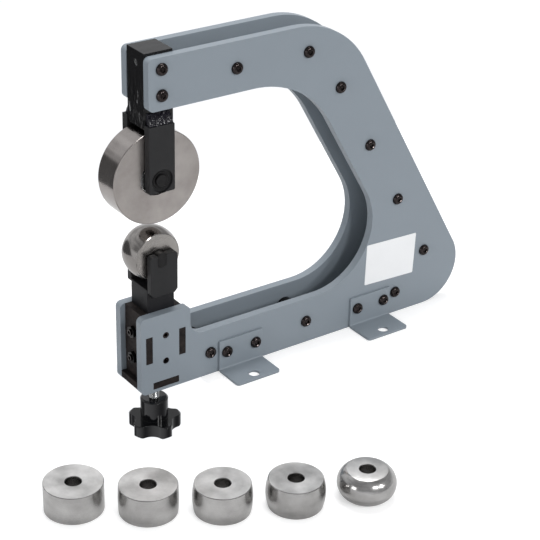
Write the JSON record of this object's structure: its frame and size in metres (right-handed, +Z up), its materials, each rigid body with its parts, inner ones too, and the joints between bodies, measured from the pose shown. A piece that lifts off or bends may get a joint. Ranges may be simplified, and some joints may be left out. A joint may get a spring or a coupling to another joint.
{
  "type": "english wheel",
  "caption": "Bench English wheel: a C frame of two side plates with a flat upper wheel in a fork, a crowned anvil wheel raised by a star knob, and spare anvil wheels.",
  "frame": {"origin": "middle between the four bench bolt holes, in the bench face under the feet, on the frame's mid-plane", "axes": "+X along the frame from the wheels towards the closed back, +Y from the front side plate to the back one, parallel to the wheels' axles, +Z up"},
  "size_m": [0.6578, 0.4157, 0.469],
  "materials": {
    "frame_paint": "satin blue-grey paint",
    "black_paint": "gloss black paint",
    "black_oxide": "black oxide, lightly oiled",
    "raw_plate": "hot-rolled, dark brown scale",
    "wheel_steel": "turned, satin",
    "anvil_steel": "turned faces, polished tread",
    "axle_steel": "blackened",
    "bearing_steel": "ground, bright",
    "seal_rubber": "matt black",
    "zinc_plate": "bright zinc plating",
    "knob_plastic": "gloss black moulding"
  },
  "bodies": {
    "frame": {"plate_front": "frame_paint", "plate_back": "frame_paint", "spacers": "black_oxide", "arm_spacers": "black_oxide", "screws_front": "black_oxide", "screws_back": "black_oxide", "foot_front_left": "frame_paint", "foot_front_right": "frame_paint", "foot_back_left": "frame_paint", "foot_back_right": "frame_paint", "foot_screws": "black_oxide", "fork_block": "black_paint", "fork_cheek_front": "black_paint", "fork_cheek_back": "black_paint", "fork_welds": "black_paint", "fork_block_screw": "zinc_plate", "upper_axle": "axle_steel", "axle_washer": "black_oxide", "axle_screw": "black_oxide", "bearing_inner_rings": "bearing_steel", "wheel_spacers": "axle_steel", "guide_plate_front": "raw_plate", "guide_plate_rear": "raw_plate", "guide_base": "raw_plate", "play_screws": "black_oxide", "play_bolts": "black_oxide", "play_nuts": "black_oxide"},
    "upper_wheel": {"upper_wheel": "wheel_steel", "bearing_outer_rings": "bearing_steel", "bearing_seals": "seal_rubber"},
    "carriage": {"column": "black_paint", "cradle_cheek_front": "black_paint", "cradle_cheek_back": "black_paint", "cradle_welds": "black_paint", "anvil_axle": "axle_steel"},
    "anvil": {"anvil_wheel": "anvil_steel"},
    "lift_screw": {"adjusting_screw": "zinc_plate", "star_knob": "knob_plastic"},
    "spare_1": {"spare_anvil_1": "anvil_steel"},
    "spare_2": {"spare_anvil_2": "anvil_steel"},
    "spare_3": {"spare_anvil_3": "anvil_steel"},
    "spare_4": {"spare_anvil_4": "anvil_steel"},
    "spare_5": {"spare_anvil_5": "anvil_steel"}
  },
  "joints": [
    {"name": "upper_wheel_spin", "type": "hinge", "parent": "frame", "child": "upper_wheel", "pos_m": [-0.198, 0, 0.2602], "axis": [0, 1, 0], "continuous": true},
    {"name": "carriage_lift", "type": "slide", "parent": "frame", "child": "carriage", "axis": [0, 0, 1], "range_m": [-0.009, 0.0107]},
    {"name": "knob_turn", "type": "hinge", "parent": "carriage", "child": "lift_screw", "pos_m": [-0.1955, 0, 0], "axis": [0, 0, 1], "range_deg": [-1852, 2202]},
    {"name": "anvil_spin", "type": "hinge", "parent": "carriage", "child": "anvil", "pos_m": [-0.198, 0, 0.1642], "axis": [0, 1, 0], "continuous": true},
    {"name": "spare_1_lift", "type": "slide", "parent": "frame", "child": "spare_1", "axis": [0, 0, 1], "range_m": [0, 0.06]},
    {"name": "spare_2_lift", "type": "slide", "parent": "frame", "child": "spare_2", "axis": [0, 0, 1], "range_m": [0, 0.06]},
    {"name": "spare_3_lift", "type": "slide", "parent": "frame", "child": "spare_3", "axis": [0, 0, 1], "range_m": [0, 0.06]},
    {"name": "spare_4_lift", "type": "slide", "parent": "frame", "child": "spare_4", "axis": [0, 0, 1], "range_m": [0, 0.06]},
    {"name": "spare_5_lift", "type": "slide", "parent": "frame", "child": "spare_5", "axis": [0, 0, 1], "range_m": [0, 0.06]}
  ],
  "couplings": [
    {"joint": "knob_turn", "follows": "carriage_lift", "rad_per_m": 3590.4}
  ]
}
